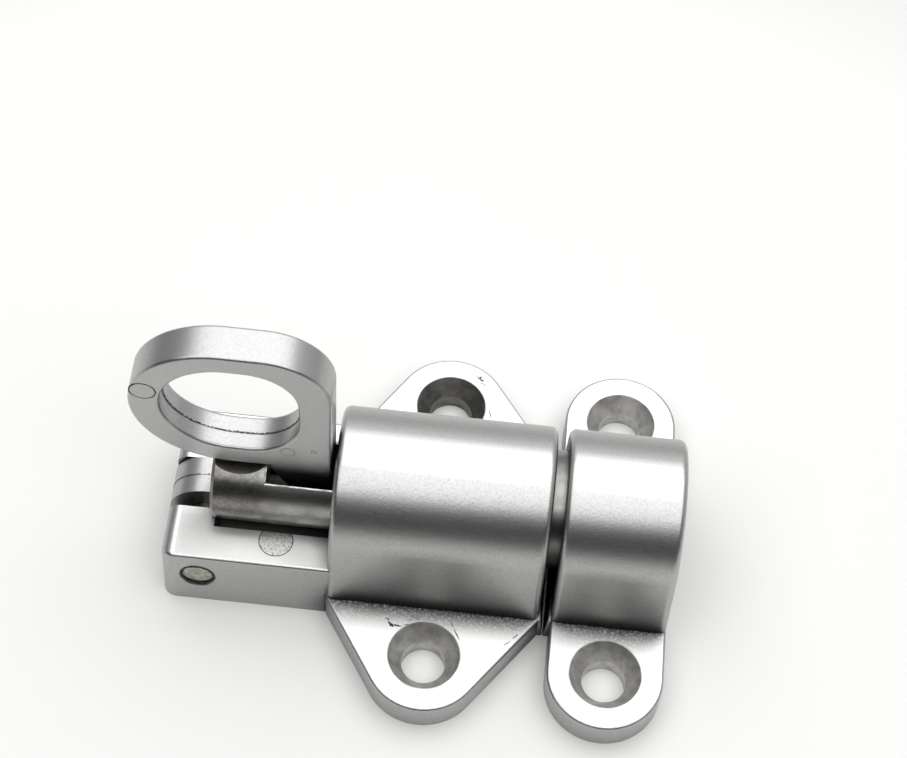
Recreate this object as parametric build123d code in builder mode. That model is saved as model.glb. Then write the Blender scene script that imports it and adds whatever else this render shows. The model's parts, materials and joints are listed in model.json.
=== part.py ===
"""Ring pull door bolt: housing, keeper, bolt, spring, pull ring and hinge pin.

Frame, in millimetres: X along the bolt and positive toward the keeper, Y across
the door and positive away from the viewer, Z up from the mounting face at z = 0.
The origin is midway between the housing's two screw holes on the mounting face.
"""
from build123d import *

import os
from math import atan, degrees, sqrt

os.makedirs("parts", exist_ok=True)

# Both castings
ear_thickness = 4.4
screw_spacing = 37.0         # between the two holes of a casting
screw_hole = 5.8
countersink = 9.2            # mouth of the countersink
countersink_depth = 2.1
axis_height = 12.3           # bolt axis above the mounting face
body_radius = 10.4           # rounded back
body_half_width = 12.0       # where the rounded back meets the ears
edge_round = 0.4             # cast edges
crown_round = 0.9            # end edges of the rounded backs

# Housing
ear_radius = 7.5             # about the screw hole
barrel_back = -13.2          # rear face of the barrel
barrel_front = 14.0
rear_wall = 3.0              # closes the spring chamber
fork_back = -34.4            # left end of the two cheeks
fork_height = 9.6
fork_half_foot = 11.7        # half width at the mounting face
fork_half_top = 10.9         # half width at the top of the cheeks
fork_end_round = 1.8
slot_half = 3.6              # between the cheeks
trough_gap = 1.1             # radial, beside the tail
trough_floor = 8.6
trough_back = -27.6          # where the trough starts to run out
trough_runout = 0.6

# Keeper
keeper_gap = 1.5             # between housing and keeper
keeper_length = 14.8

# Bolt
bolt_diameter = 15.0
bore_clearance = 0.15        # radial, in both bores and in the rear wall
tail_diameter = 11.2
travel = 10.3                # from thrown to drawn
shoulder_x = 7.5             # where the plunger meets the tail
nose_chamfer = 1.0
tail_chamfer = 0.4
bridge_back = -28.7          # rear end of the tail
bridge_front = -21.95        # rear end of the window
window_front = -10.4
window_near = 3.35           # the window's sides, either way from the bolt's axis
window_far = 3.6
bridge_floor = 11.6          # underside of the bridge
tail_flat = 9.9              # underside of the tail over the cheeks
flat_spare = 2.0             # the flat runs on past the travel by this
saddle_depth = 0.62          # worn hollow in the bridge's crown
saddle_radius = 12.0
saddle_x = -25.4

# Hinge pin
pin_x = -29.7
pin_z = 5.45
pin_diameter = 4.0
pin_fit = 0.05               # radial, hub on pin
pin_press = 0.01             # radial, pin in cheeks
pin_mouth = 4.7              # chamfered mouth of the pin's hole
pin_recess = 0.15            # each end below the cheek's face
pin_chamfer = 0.15

# Pull ring: a ring, its lug through the window, an arm under the bolt and a hub
lever_y = 0.8                # the lever lies toward the far cheek
ring_thickness = 4.8
ring_left = -38.4
ring_right = -13.7
ring_bottom = 18.5
ring_top = 41.9
ring_corner = 8.4
hole_left = -34.6
hole_right = -17.75
hole_bottom = 21.85
hole_top = 38.75
hole_corner = 6.5
hub_thickness = 5.1
hub_radius = 5.0
lug_left = -21.1
lug_edge_z = 17.6            # lower corner of the lug's left side
throat_x = -18.1             # the undercut that lets the bridge's corner pass
throat_z = 11.9
mouth_x = -17.9              # the mouth that the bridge sits in
mouth_z = 10.2
mouth_low_x = -19.4
mouth_low_z = 8.2
mouth_back_x = -25.2
mouth_back_z = 7.4
arm_web = 2.0                # arm's top above the pin, at the hub
arm_heel_x = -23.7           # underside of the arm
arm_heel_z = 0.85
arm_toe_x = -16.4
arm_toe_z = 4.2
arm_toe_round = 3.0
arm_front_z = 10.5
arm_front_round = 2.0

# Spring
spring_wire = 0.8
spring_mean = 13.0           # mean diameter of the coil
spring_coils = 7.0
spring_gap = 0.02            # radial, so that the end coils don't cut into their seats

# Derived values
hole_y = screw_spacing / 2
countersink_angle = 2 * degrees(atan((countersink - screw_hole) / 2 / countersink_depth))
barrel_length = barrel_front - barrel_back
keeper_back = barrel_front + keeper_gap
keeper_x = keeper_back + keeper_length / 2
bolt_radius = bolt_diameter / 2
tail_radius = tail_diameter / 2
bore_radius = bolt_radius + bore_clearance
chamber_back = barrel_back + rear_wall
bolt_front = barrel_front + travel
flat_front = barrel_back + travel + flat_spare
trough_half = sqrt((tail_radius + trough_gap) ** 2 - (axis_height - fork_height) ** 2)
cheek_draft = (fork_half_foot - fork_half_top) / fork_height
cheek_half = fork_half_foot - cheek_draft * pin_z
mouth_depth = (pin_mouth - pin_diameter) / 2 + pin_recess
spring_length = shoulder_x - chamber_back

across = Plane.YZ            # sketch x = Y, sketch y = Z, extrudes along +X
side = Plane(origin=(0, 0, 0), x_dir=(1, 0, 0), z_dir=(0, -1, 0))  # sketch x = X, y = Z
lever = side.offset(-lever_y)


def housing_outline():
    """Sketch of the housing's base: the barrel's rectangle drawn out to a round ear on either side."""
    with BuildSketch() as base:
        with Locations((barrel_back + barrel_length / 2, 0)):
            Rectangle(barrel_length, 2 * body_half_width)
        with Locations((0, hole_y), (0, -hole_y)):
            Circle(ear_radius)
        make_hull()
    return base.sketch


def keeper_outline():
    """Sketch of the keeper's base: a plate as wide as the keeper is long, with round ends."""
    with BuildSketch() as base:
        with Locations((keeper_x, 0)):
            SlotCenterToCenter(screw_spacing, keeper_length, rotation=90)
    return base.sketch


def body_outline():
    """Sketch of the rounded back: its foot's rectangle drawn up to the round crown."""
    with BuildSketch() as body:
        with Locations((0, ear_thickness / 2)):
            Rectangle(2 * body_half_width, ear_thickness)
        with Locations((0, axis_height)):
            Circle(body_radius)
        make_hull()
    return body.sketch


def ring_outline(left, right, low, high, corner):
    """Sketch of a D: half round on the left, with two rounded corners on the right."""
    half = (high - low) / 2
    with BuildSketch() as ring:
        with Locations((left + half, low + half)):
            Circle(half)
        with Locations((right - corner, low + corner), (right - corner, high - corner)):
            Circle(corner)
        make_hull()
    return ring.sketch


def base_plate(outline):
    """Base plate of a casting, its upper rim rounded where it stands clear of the body."""
    with BuildPart() as plate:
        with BuildSketch():
            add(outline)
        extrude(amount=ear_thickness)
        rim = plate.edges().group_by(Axis.Z)[-1].filter_by(
            lambda edge: abs(edge.center().Y) > body_half_width)
        fillet(rim, radius=edge_round)
    return plate.part


def crown_edges(body):
    """The round end edges of a rounded back."""
    return body.edges().filter_by(GeomType.CIRCLE).filter_by(
        lambda edge: abs(edge.radius - body_radius) < edge_round)


# Housing
housing_plate = base_plate(housing_outline())
with BuildPart() as housing:
    with BuildSketch(across.offset(barrel_back)):
        add(body_outline())
    extrude(amount=barrel_length)
    fillet(crown_edges(housing), radius=crown_round)
    add(housing_plate)
    with BuildSketch(across.offset(fork_back)) as cheeks:
        with BuildLine():
            Polyline((-fork_half_foot, 0), (fork_half_foot, 0), (fork_half_top, fork_height),
                     (-fork_half_top, fork_height), close=True)
        make_face()
        fillet(cheeks.vertices().group_by(Axis.Y)[-1], radius=edge_round)
    extrude(amount=chamber_back - fork_back)
    end_edges = housing.edges().filter_by(Axis.Y).group_by(Axis.X)[0]
    fillet(end_edges.sort_by(Axis.Z)[-1], radius=fork_end_round)
    with BuildSketch(across.offset(fork_back)):
        with Locations((0, fork_height / 2)):
            Rectangle(2 * slot_half, fork_height)
    extrude(amount=barrel_back - fork_back, mode=Mode.SUBTRACT)
    with BuildSketch(side):
        with BuildLine():
            Polyline((trough_back - trough_runout, fork_height), (trough_back, trough_floor),
                     (barrel_back, trough_floor), (barrel_back, fork_height), close=True)
        make_face()
    extrude(amount=trough_half, both=True, mode=Mode.SUBTRACT)
    with BuildSketch(across.offset(chamber_back)):
        with Locations((0, axis_height)):
            Circle(bore_radius)
    extrude(amount=barrel_front - chamber_back, mode=Mode.SUBTRACT)
    with BuildSketch(across.offset(barrel_back)):
        with Locations((0, axis_height)):
            Circle(tail_radius + bore_clearance)
    extrude(amount=rear_wall, mode=Mode.SUBTRACT)
    with BuildSketch(side):
        with Locations((pin_x, pin_z)):
            Circle(pin_diameter / 2 + pin_press)
    extrude(amount=fork_half_foot, both=True, mode=Mode.SUBTRACT)
    for outward in (-1, 1):
        cheek_face = Plane(origin=(pin_x, outward * cheek_half, pin_z), x_dir=(1, 0, 0),
                           z_dir=(0, outward, cheek_draft))
        with BuildSketch(cheek_face):
            Circle(pin_mouth / 2)
        extrude(amount=-mouth_depth, taper=45, mode=Mode.SUBTRACT)
    with Locations((0, hole_y, ear_thickness), (0, -hole_y, ear_thickness)):
        CounterSinkHole(screw_hole / 2, countersink / 2, counter_sink_angle=countersink_angle)
housing.part.label = "housing"

# Keeper
keeper_plate = base_plate(keeper_outline())
with BuildPart() as keeper:
    with BuildSketch(across.offset(keeper_back)):
        add(body_outline())
    extrude(amount=keeper_length)
    fillet(crown_edges(keeper), radius=crown_round)
    add(keeper_plate)
    with BuildSketch(across.offset(keeper_back)):
        with Locations((0, axis_height)):
            Circle(bore_radius)
    extrude(amount=keeper_length, mode=Mode.SUBTRACT)
    with Locations((keeper_x, hole_y, ear_thickness), (keeper_x, -hole_y, ear_thickness)):
        CounterSinkHole(screw_hole / 2, countersink / 2, counter_sink_angle=countersink_angle)
keeper.part.label = "keeper"

# Bolt
with BuildPart() as bolt:
    with BuildSketch(across.offset(shoulder_x)):
        with Locations((0, axis_height)):
            Circle(bolt_radius)
    extrude(amount=bolt_front - shoulder_x)
    chamfer(bolt.edges().sort_by(Axis.X)[-1], length=nose_chamfer)
    with BuildSketch(across.offset(bridge_back)):
        with Locations((0, axis_height)):
            Circle(tail_radius)
    extrude(amount=shoulder_x - bridge_back)
    chamfer(bolt.edges().sort_by(Axis.X)[0], length=tail_chamfer)
    with BuildSketch(side.offset(-window_far)):
        with BuildLine():
            Polyline((bridge_front, 0), (window_front, 0), (window_front, ring_bottom),
                     (bridge_front, ring_bottom), close=True)
        make_face()
        with BuildLine():
            Polyline((bridge_back, 0), (bridge_front, 0), (bridge_front, bridge_floor),
                     (bridge_back, bridge_floor), close=True)
        make_face()
    extrude(amount=window_near + window_far, mode=Mode.SUBTRACT)
    with BuildSketch(side):
        with BuildLine():
            Polyline((bridge_back, 0), (flat_front, 0), (flat_front, tail_flat),
                     (bridge_back, tail_flat), close=True)
        make_face()
    extrude(amount=tail_radius, both=True, mode=Mode.SUBTRACT)
    with BuildSketch(side):
        with Locations((saddle_x, axis_height + tail_radius - saddle_depth + saddle_radius)):
            Circle(saddle_radius)
    extrude(amount=tail_radius, both=True, mode=Mode.SUBTRACT)
bolt.part.label = "bolt"

# Spring
with BuildPart() as spring:
    with BuildLine() as coil:
        Helix(pitch=(spring_length - spring_wire) / spring_coils, height=spring_length - spring_wire,
              radius=spring_mean / 2,
              center=(chamber_back + spring_wire / 2, 0, axis_height), direction=(1, 0, 0))
    wire_path = coil.wire()
    with BuildSketch(Plane(origin=wire_path @ 0, z_dir=wire_path % 0)):
        Circle(spring_wire / 2 - spring_gap)
    sweep(path=wire_path, is_frenet=True)
spring.part.label = "spring"

# Pull ring
with BuildPart() as pull_ring:
    with BuildSketch(lever) as lever_face:
        with BuildLine():
            Polyline(
                (pin_x, pin_z - hub_radius),
                (arm_heel_x, arm_heel_z),
                (arm_toe_x, arm_toe_z),
                (ring_right, arm_front_z),
                (ring_right, ring_bottom + ring_corner),
                (ring_right - ring_corner, ring_bottom),
                (lug_left, ring_bottom),
                (lug_left, lug_edge_z),
                (throat_x, throat_z),
                (mouth_x, mouth_z),
                (mouth_low_x, mouth_low_z),
                (mouth_back_x, mouth_back_z),
                (pin_x, pin_z + arm_web),
                close=True)
        make_face()
        arm_corners = lever_face.vertices().sort_by_distance((arm_toe_x, arm_toe_z, 0))
        fillet(arm_corners[0], radius=arm_toe_round)
        arm_corners = lever_face.vertices().sort_by_distance((ring_right, arm_front_z, 0))
        fillet(arm_corners[0], radius=arm_front_round)
        add(ring_outline(ring_left, ring_right, ring_bottom, ring_top, ring_corner))
        with Locations((pin_x, pin_z)):
            Circle(hub_radius)
    extrude(amount=ring_thickness / 2, both=True)
    with BuildSketch(lever):
        with Locations((pin_x, pin_z)):
            Circle(hub_radius)
    extrude(amount=hub_thickness / 2, both=True)
    with BuildSketch(lever):
        add(ring_outline(hole_left, hole_right, hole_bottom, hole_top, hole_corner))
        with Locations((pin_x, pin_z)):
            Circle(pin_diameter / 2 + pin_fit)
    extrude(amount=hub_thickness / 2, both=True, mode=Mode.SUBTRACT)
    face_edges = pull_ring.faces().filter_by(Axis.Y).edges().filter_by(
        lambda edge: edge.bounding_box().min.Z > ring_bottom - edge_round / 2)
    fillet(face_edges, radius=edge_round)
pull_ring.part.label = "pull_ring"

# Hinge pin
with BuildPart() as hinge_pin:
    with BuildSketch(side):
        with Locations((pin_x, pin_z)):
            Circle(pin_diameter / 2)
    extrude(amount=cheek_half - pin_recess, both=True)
    chamfer(hinge_pin.edges().filter_by(GeomType.CIRCLE), length=pin_chamfer)
hinge_pin.part.label = "hinge_pin"

for made in (housing, keeper, bolt, spring, pull_ring, hinge_pin):
    export_step(made.part, f"parts/{made.part.label}.step")
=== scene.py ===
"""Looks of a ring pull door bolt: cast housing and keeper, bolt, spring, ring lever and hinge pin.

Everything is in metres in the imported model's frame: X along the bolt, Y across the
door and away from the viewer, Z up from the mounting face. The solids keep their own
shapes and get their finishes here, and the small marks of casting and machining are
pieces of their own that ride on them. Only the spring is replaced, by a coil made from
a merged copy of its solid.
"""

import json
import logging
from collections.abc import Callable
from dataclasses import dataclass, field
from enum import Enum
from math import atan2, cos, pi, radians, sin, sqrt, tan
from typing import Any

import bmesh
import bpy
from mathutils import Matrix, Vector


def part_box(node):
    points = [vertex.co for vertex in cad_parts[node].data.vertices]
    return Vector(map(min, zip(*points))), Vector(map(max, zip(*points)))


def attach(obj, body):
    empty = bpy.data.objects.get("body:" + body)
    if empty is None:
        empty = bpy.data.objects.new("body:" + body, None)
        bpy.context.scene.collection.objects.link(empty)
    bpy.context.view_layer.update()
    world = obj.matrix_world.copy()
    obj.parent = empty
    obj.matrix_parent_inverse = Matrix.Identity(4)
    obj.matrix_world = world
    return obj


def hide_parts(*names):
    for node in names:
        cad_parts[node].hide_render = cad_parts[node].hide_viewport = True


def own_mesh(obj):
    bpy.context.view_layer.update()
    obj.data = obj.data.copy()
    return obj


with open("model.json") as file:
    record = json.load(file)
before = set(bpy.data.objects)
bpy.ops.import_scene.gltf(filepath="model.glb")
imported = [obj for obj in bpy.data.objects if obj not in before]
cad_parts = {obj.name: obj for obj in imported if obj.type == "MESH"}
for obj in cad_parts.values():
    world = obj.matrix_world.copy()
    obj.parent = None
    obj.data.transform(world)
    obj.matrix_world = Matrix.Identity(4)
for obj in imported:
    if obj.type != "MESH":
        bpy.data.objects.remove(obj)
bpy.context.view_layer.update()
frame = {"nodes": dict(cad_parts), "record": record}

log = logging.getLogger("door_bolt")
Span = tuple[float, float]   # where something begins, and where it is full or ends
MM = 0.001
WITHIN = 0.05 * MM           # how deep a mark's own mesh is sunk into what carries it
SMOOTH_DEG = 35.0            # edges flatter than this are shaded round
EAR_HEIGHT_MM = 4.4          # top of both castings' ears
CHEEK_HEIGHT_MM = 9.6        # top of the housing's two cheeks
PIN_X_MM = -29.7             # axis of the hinge pin
PIN_Z_MM = 5.45
NOT_DOWN: Span = (-0.95, -0.7)    # rises of the normal, from straight down to clearly not


class Body(Enum):
    """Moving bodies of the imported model."""
    BASE = "base"
    BOLT = "sliding_bolt"
    LEVER = "ring_lever"


class Slot(Enum):
    """Material slots of the record."""
    CASTING = "casting"
    TURNED = "turned_steel"
    WIRE = "spring_wire"
    PIN = "pin_steel"


def linear(code: str) -> tuple[float, float, float, float]:
    """Turns an sRGB hex colour into the linear colour that a shader takes.

    Args:
        code: Colour as six hex digits after a hash sign.

    Returns:
        Linear red, green, blue and an alpha of 1.
    """
    shares = [int(code[i:i + 2], 16) / 255 for i in (1, 3, 5)]
    red, green, blue = (s / 12.92 if s <= 0.04045 else ((s + 0.055) / 1.055) ** 2.4 for s in shares)
    return red, green, blue, 1.0


def per_metre(size_mm: float) -> float:
    """Texture scale that repeats a noise or cell pattern every size_mm millimetres."""
    return 1.0 / (size_mm * MM)


def wave_scale(period_mm: float) -> float:
    """Scale of a wave texture whose bands are period_mm millimetres apart."""
    return 2 * pi / (20 * period_mm * MM)


def add_node(tree: bpy.types.NodeTree, kind: str, settings: dict[Any, Any] | None = None,
             feeds: dict[Any, Any] | None = None) -> bpy.types.Node:
    """Adds one node with its settings and links.

    Args:
        tree: Node tree that takes the node.
        kind: Blender's name for the type of node.
        settings: Values by property name, or by the name or number of an input socket.
        feeds: What feeds an input socket, by the socket's name or number: the output socket of
            another node, or a fixed value.

    Returns:
        The new node.
    """
    made = tree.nodes.new(kind)
    for name, value in (settings or {}).items():
        if isinstance(name, str) and hasattr(made, name):
            setattr(made, name, value)
        else:
            made.inputs[name].default_value = value
    for name, source in (feeds or {}).items():
        if isinstance(source, bpy.types.NodeSocket):
            tree.links.new(source, made.inputs[name])
        else:
            made.inputs[name].default_value = source
    return made


def patch_share(tree: bpy.types.NodeTree, size_mm: float, between: Span, detail: float = 3.0,
                roughness: float = 0.5, distortion: float = 0.0) -> Any:
    """Says where irregular patches of stain, grit or wear lie.

    Args:
        tree: Node tree that takes the nodes.
        size_mm: Size of a patch.
        between: Values of the noise at which a patch begins and is full.
        detail: How many finer layers the noise has.
        roughness: How strong the finer layers are.
        distortion: How far the patches are drawn out of shape.

    Returns:
        Output socket with 0 outside the patches and 1 in them.
    """
    place = add_node(tree, "ShaderNodeTexCoord").outputs["Object"]
    noise = add_node(tree, "ShaderNodeTexNoise",
                     {"Scale": per_metre(size_mm), "Detail": detail, "Roughness": roughness,
                      "Distortion": distortion},
                     {"Vector": place}).outputs["Fac"]
    return add_node(tree, "ShaderNodeMapRange", {"From Min": between[0], "From Max": between[1]},
                    {"Value": noise}).outputs["Result"]


def place_share(tree: bpy.types.NodeTree, axis: str, between_mm: Span) -> Any:
    """Says how far a point has come from one place to another along an axis.

    Args:
        tree: Node tree that takes the nodes.
        axis: Letter of the axis.
        between_mm: Places at which the result becomes 0 and 1.

    Returns:
        Output socket with the share.
    """
    place = add_node(tree, "ShaderNodeTexCoord").outputs["Object"]
    along = add_node(tree, "ShaderNodeSeparateXYZ", None, {0: place}).outputs[axis]
    first, last = between_mm
    return add_node(tree, "ShaderNodeMapRange", {"From Min": first * MM, "From Max": last * MM},
                    {"Value": along}).outputs["Result"]


def slope_share(tree: bpy.types.NodeTree, between: Span) -> Any:
    """Says how far up the surface looks.

    Args:
        tree: Node tree that takes the nodes.
        between: Rises of the normal at which the result becomes 0 and 1; straight up is 1.

    Returns:
        Output socket with the share.
    """
    facing = add_node(tree, "ShaderNodeNewGeometry").outputs["Normal"]
    rise = add_node(tree, "ShaderNodeSeparateXYZ", None, {0: facing}).outputs["Z"]
    return add_node(tree, "ShaderNodeMapRange", {"From Min": between[0], "From Max": between[1]},
                    {"Value": rise}).outputs["Result"]


def shade_share(tree: bpy.types.NodeTree, reach_mm: float, local: bool, between: Span) -> Any:
    """Says how deep in a corner or cavity a point lies, away from light and tumbling.

    Args:
        tree: Node tree that takes the nodes.
        reach_mm: How far round the point it looks.
        local: Whether only the point's own piece counts.
        between: Shares of open sky at which the result becomes 0 and 1.

    Returns:
        Output socket with 0 in the open and 1 deep inside.
    """
    sky = add_node(tree, "ShaderNodeAmbientOcclusion",
                   {"samples": 8, "only_local": local, "Distance": reach_mm * MM}).outputs["AO"]
    return add_node(tree, "ShaderNodeMapRange", {"From Min": between[0], "From Max": between[1]},
                    {"Value": sky}).outputs["Result"]


def overlap(tree: bpy.types.NodeTree, first: Any, *others: Any) -> Any:
    """Combines shares, so that the result is full only where all of them are.

    Args:
        tree: Node tree that takes the nodes.
        first: Output socket with a share.
        others: More shares, as output sockets or fixed numbers.

    Returns:
        Output socket with the combined share.
    """
    for share in others:
        first = add_node(tree, "ShaderNodeMath", {"operation": "MULTIPLY"}, {0: first, 1: share}).outputs[0]
    return first


def cavity_share(tree: bpy.types.NodeTree, reach_mm: float, between: Span) -> Any:
    """Says how deep in a cavity a point lies, except on a face that rests on the door.

    Args:
        tree: Node tree that takes the nodes.
        reach_mm: How far round the point it looks.
        between: Shares of open sky at which the result becomes 0 and 1.

    Returns:
        Output socket with 0 in the open and 1 deep inside.
    """
    return overlap(tree, shade_share(tree, reach_mm, False, between), slope_share(tree, NOT_DOWN))


def colour_layers(tree: bpy.types.NodeTree, base: str, *layers: tuple[Any, str]) -> Any:
    """Lays colours over a base colour, one after the other.

    Args:
        tree: Node tree that takes the nodes.
        base: Hex code of the base colour.
        layers: For each colour, the output socket with its share over the surface and its hex code.

    Returns:
        Output socket with the mixed colour.
    """
    colour: Any = linear(base)
    for share, code in layers:
        colour = add_node(tree, "ShaderNodeMix", {"data_type": "RGBA"},
                          {0: share, 6: colour, 7: linear(code)}).outputs[2]
    return colour


@dataclass(frozen=True)
class Finish:
    """What every finish shares: how its surface becomes a material."""

    def make(self, name: str) -> bpy.types.Material:
        """Makes the finish a material.

        Args:
            name: Name of the material.

        Returns:
            The material.
        """
        material = bpy.data.materials.new(name)
        material.use_nodes = True
        tree = material.node_tree
        tree.nodes.clear()
        add_node(tree, "ShaderNodeOutputMaterial", None, {"Surface": self.surface(tree)})
        return material

    def surface(self, tree: bpy.types.NodeTree) -> Any:
        """Lays out the nodes of the surface.

        Args:
            tree: Empty node tree of the material.

        Returns:
            Output socket of the shader.
        """
        raise NotImplementedError


@dataclass(frozen=True)
class SatinCasting(Finish):
    """Satin nickel plate over die-cast zinc, tumbled before plating.

    The tumbled skin under the plate is finely pebbled, so every highlight breaks into
    sparkles at its edges. The skin stays rough and speckled in inner corners, where the
    tumbling stones don't reach, with painted shade over those specks, and small tears are
    left there. Flats on top get a painted highlight, and walls above inner corners, high
    flats beside the bolt's tail and deep cavities get painted shade.
    """
    colour: str = "#b2b2b2"
    grain: str = "#a6a6a4"
    flat: str = "#dfdfde"            # painted highlight: flats on top painted lighter than the walls
    # colour of the painted shade on walls, in corners and beside the tail, and of the real speckled stain in
    # corners
    shade_and_stain: str = "#2e2d2c"
    # colour of the tears, and also of the painted shade deep in cavities
    tear: str = "#2a2928"
    # how much of the painted highlight the flats on top get
    painted_top_light_share: float = 0.0
    wall_shade_share: float = 0.0          # how much painted shade darkens walls just above an inner corner
    shade_beside_tail_share: float = 0.0           # how much painted shade darkens high flats beside the bolt's tail
    roughness: float = 0.33
    grain_roughness: float = 0.40
    pebble_mm: float = 0.26          # tumbled grain, drawn a little coarse to show
    pebble_height_mm: float = 0.017
    pebble_noise: Span = (0.42, 0.68)
    speck_mm: float = 0.32           # grain of the untouched skin in inner corners
    speck_noise: Span = (0.12, 0.5)
    tear_mm: float = 1.3             # spacing of small tears in inner corners
    tear_noise: Span = (0.64, 0.68)
    tear_depth_mm: float = 0.03
    stain_and_shade_top_mm: float = 7.0        # the corner stain and its painted shade lie below this height, round the ears, and the painted shade beside the tail lies above it
    stain_and_shade_fade_mm: float = 1.5
    corner_reach_mm: float = 4.5     # how far from an inner corner the skin is untouched, and its painted shade reaches
    corner_sky: Span = (0.96, 0.64)  # share of open sky where the corner begins and is full
    # reach and open-sky shares of the painted shade on walls above inner corners
    wall_shade_reach_mm: float = 14.0
    wall_shade_sky: Span = (0.96, 0.6)
    # reach and open-sky shares of the painted shade beside the bolt's tail
    shade_beside_reach_mm: float = 3.0
    shade_beside_sky: Span = (0.92, 0.5)
    # reach and open-sky shares of the painted shade deep in cavities
    cavity_reach_mm: float = 8.0
    cavity_sky: Span = (0.44, 0.2)
    level: Span = (0.96, 0.995)      # rise of the normal on a flat top
    steep: Span = (0.6, 0.2)         # and on a wall

    def surface(self, tree: bpy.types.NodeTree) -> Any:
        """Lays out the nodes of the surface.

        Args:
            tree: Empty node tree of the material.

        Returns:
            Output socket of the shader.
        """
        place = add_node(tree, "ShaderNodeTexCoord").outputs["Object"]
        pebbles = add_node(tree, "ShaderNodeTexNoise",
                           {"Scale": per_metre(self.pebble_mm), "Detail": 3.0, "Roughness": 0.65},
                           {"Vector": place}).outputs["Fac"]
        sparse, dense = self.pebble_noise
        grained = add_node(tree, "ShaderNodeMapRange", {"From Min": sparse, "From Max": dense},
                           {"Value": pebbles}).outputs["Result"]
        flat = slope_share(tree, self.level)
        low = place_share(tree, "Z", (self.stain_and_shade_top_mm, self.stain_and_shade_top_mm - self.stain_and_shade_fade_mm))
        high = place_share(tree, "Z", (self.stain_and_shade_top_mm, self.stain_and_shade_top_mm + self.stain_and_shade_fade_mm))
        corner = overlap(tree, shade_share(tree, self.corner_reach_mm, True, self.corner_sky), low)
        # speckled stain in inner corners, partly real stain and partly painted shade
        stain_and_corner_shade = overlap(tree, corner, patch_share(tree, self.speck_mm, self.speck_noise, roughness=0.7))
        torn = overlap(tree, corner, patch_share(tree, self.tear_mm, self.tear_noise, detail=5.0,
                                                 roughness=0.65, distortion=0.8))
        # painted shade on walls just above an inner corner
        foot = overlap(tree, shade_share(tree, self.wall_shade_reach_mm, True, self.wall_shade_sky),
                       slope_share(tree, self.steep), self.wall_shade_share)
        # painted shade on high flats beside the bolt's tail
        painted_shade = overlap(tree, shade_share(tree, self.shade_beside_reach_mm, False, self.shade_beside_sky), high, flat,
                       self.shade_beside_tail_share)
        # real grain, painted highlight on flats, painted shade on walls, corner stain with painted shade,
        # painted shade beside the tail, tears, and painted shade deep in cavities
        colour = colour_layers(
            tree, self.colour, (grained, self.grain), (overlap(tree, flat, self.painted_top_light_share), self.flat),
            (foot, self.shade_and_stain), (stain_and_corner_shade, self.shade_and_stain), (painted_shade, self.shade_and_stain), (torn, self.tear),
            (cavity_share(tree, self.cavity_reach_mm, self.cavity_sky), self.tear))
        rough = add_node(tree, "ShaderNodeMapRange",
                         {"To Min": self.roughness, "To Max": self.grain_roughness},
                         {"Value": grained}).outputs["Result"]
        grain = add_node(tree, "ShaderNodeBump",
                         {"Strength": 1.0, "Distance": self.pebble_height_mm * MM},
                         {"Height": pebbles}).outputs["Normal"]
        dented = add_node(tree, "ShaderNodeBump",
                          {"Strength": 0.8, "Distance": self.tear_depth_mm * MM, "invert": True},
                          {"Height": torn, "Normal": grain}).outputs["Normal"]
        return add_node(tree, "ShaderNodeBsdfPrincipled", {"Metallic": 1.0},
                          {"Base Color": colour, "Roughness": rough, "Normal": dented}).outputs[0]


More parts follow.
